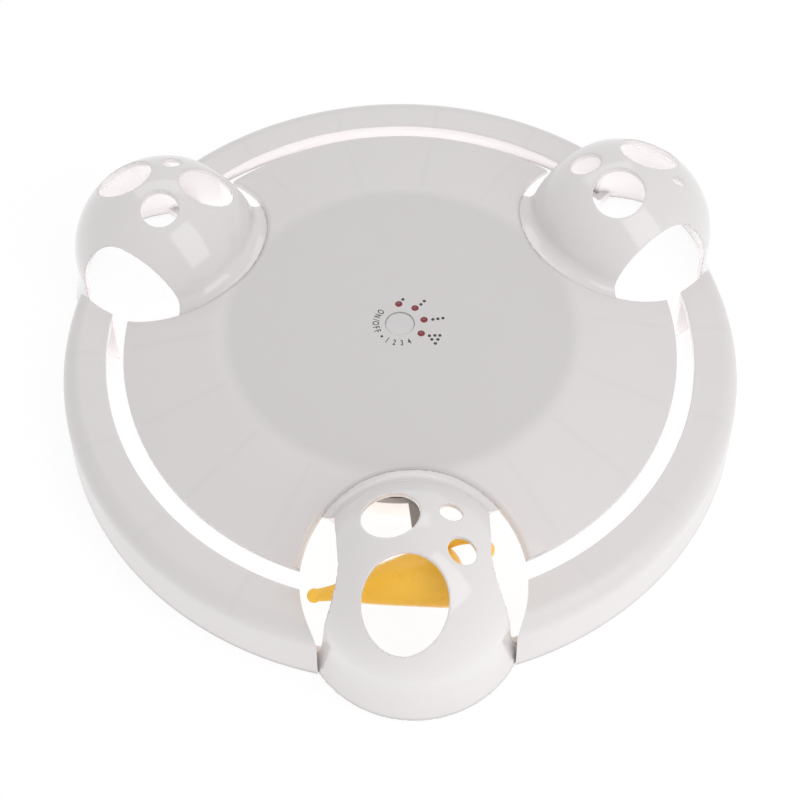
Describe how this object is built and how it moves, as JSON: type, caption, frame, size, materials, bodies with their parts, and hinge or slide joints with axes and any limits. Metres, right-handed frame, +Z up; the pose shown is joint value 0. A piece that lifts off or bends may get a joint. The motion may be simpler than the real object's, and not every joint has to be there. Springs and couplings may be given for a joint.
{
  "type": "mouse turntable cat toy",
  "caption": "Battery cat toy: a mouse on a hidden motor turntable runs in a slot round a shallow disc and through holed domes; push button and lights in the middle.",
  "frame": {"origin": "on the floor at the axis of the turntable", "axes": "+Z up along the turntable's axis, -Y towards the front dome, +X to the right"},
  "size_m": [0.2506, 0.2633, 0.0573],
  "materials": {
    "white_plastic": "gloss",
    "tray_plastic": "satin",
    "rotor_plastic": "satin",
    "gear_plastic": "satin",
    "yellow_plastic": "gloss",
    "rubber": "matt",
    "steel": "satin",
    "brass": "satin",
    "cell_wrap": "gloss",
    "board": "satin",
    "black_plastic": "satin",
    "red_lens": "gloss"
  },
  "bodies": {
    "base": {"base_tray": "tray_plastic", "anti_slip_ring": "rubber", "centre_foot": "rubber", "battery_door": "tray_plastic", "battery_door_screw": "steel", "battery_cell_1": "cell_wrap", "battery_cell_2": "cell_wrap", "battery_cell_3": "cell_wrap", "contact_plate_minus": "brass", "contact_plate_plus": "brass", "contact_springs": "steel", "motor": "steel", "motor_clamp": "tray_plastic", "motor_screws": "steel", "gear_axle": "steel", "top_cover": "white_plastic", "cover_screws": "steel", "circuit_board": "board", "board_screws": "steel", "tact_switch": "black_plastic", "control_chip": "black_plastic", "led_1": "red_lens", "led_2": "red_lens", "led_3": "red_lens", "led_4": "red_lens", "dome_front": "white_plastic", "dome_right": "white_plastic", "dome_left": "white_plastic", "rim_rear": "white_plastic", "rim_front_left": "white_plastic", "rim_front_right": "white_plastic"},
    "rotor": {"turntable": "rotor_plastic", "mouse_base": "yellow_plastic", "mouse_body": "yellow_plastic", "mouse_tail": "yellow_plastic"},
    "gear": {"compound_gear": "gear_plastic"},
    "pinion": {"motor_pinion": "gear_plastic"},
    "push_button": {"button": "white_plastic", "switch_plunger": "black_plastic"}
  },
  "joints": [
    {"name": "turntable_spin", "type": "hinge", "parent": "base", "child": "rotor", "pos_m": [0, 0, 0.0127], "axis": [0, 0, 1], "continuous": true},
    {"name": "compound_gear_spin", "type": "hinge", "parent": "base", "child": "gear", "pos_m": [0, 0.042, 0.0139], "axis": [0, 0, 1], "continuous": true},
    {"name": "motor_pinion_spin", "type": "hinge", "parent": "base", "child": "pinion", "pos_m": [0, 0.0282, 0.0161], "axis": [0, 0, 1], "continuous": true},
    {"name": "button_press", "type": "slide", "parent": "base", "child": "push_button", "axis": [0, 0, -1], "range_m": [0, 0.0005], "stiffness_N_per_m": 800, "springref_m": -0.0005}
  ],
  "couplings": [
    {"joint": "compound_gear_spin", "follows": "turntable_spin", "ratio": 8},
    {"joint": "motor_pinion_spin", "follows": "turntable_spin", "ratio": -28.8}
  ]
}
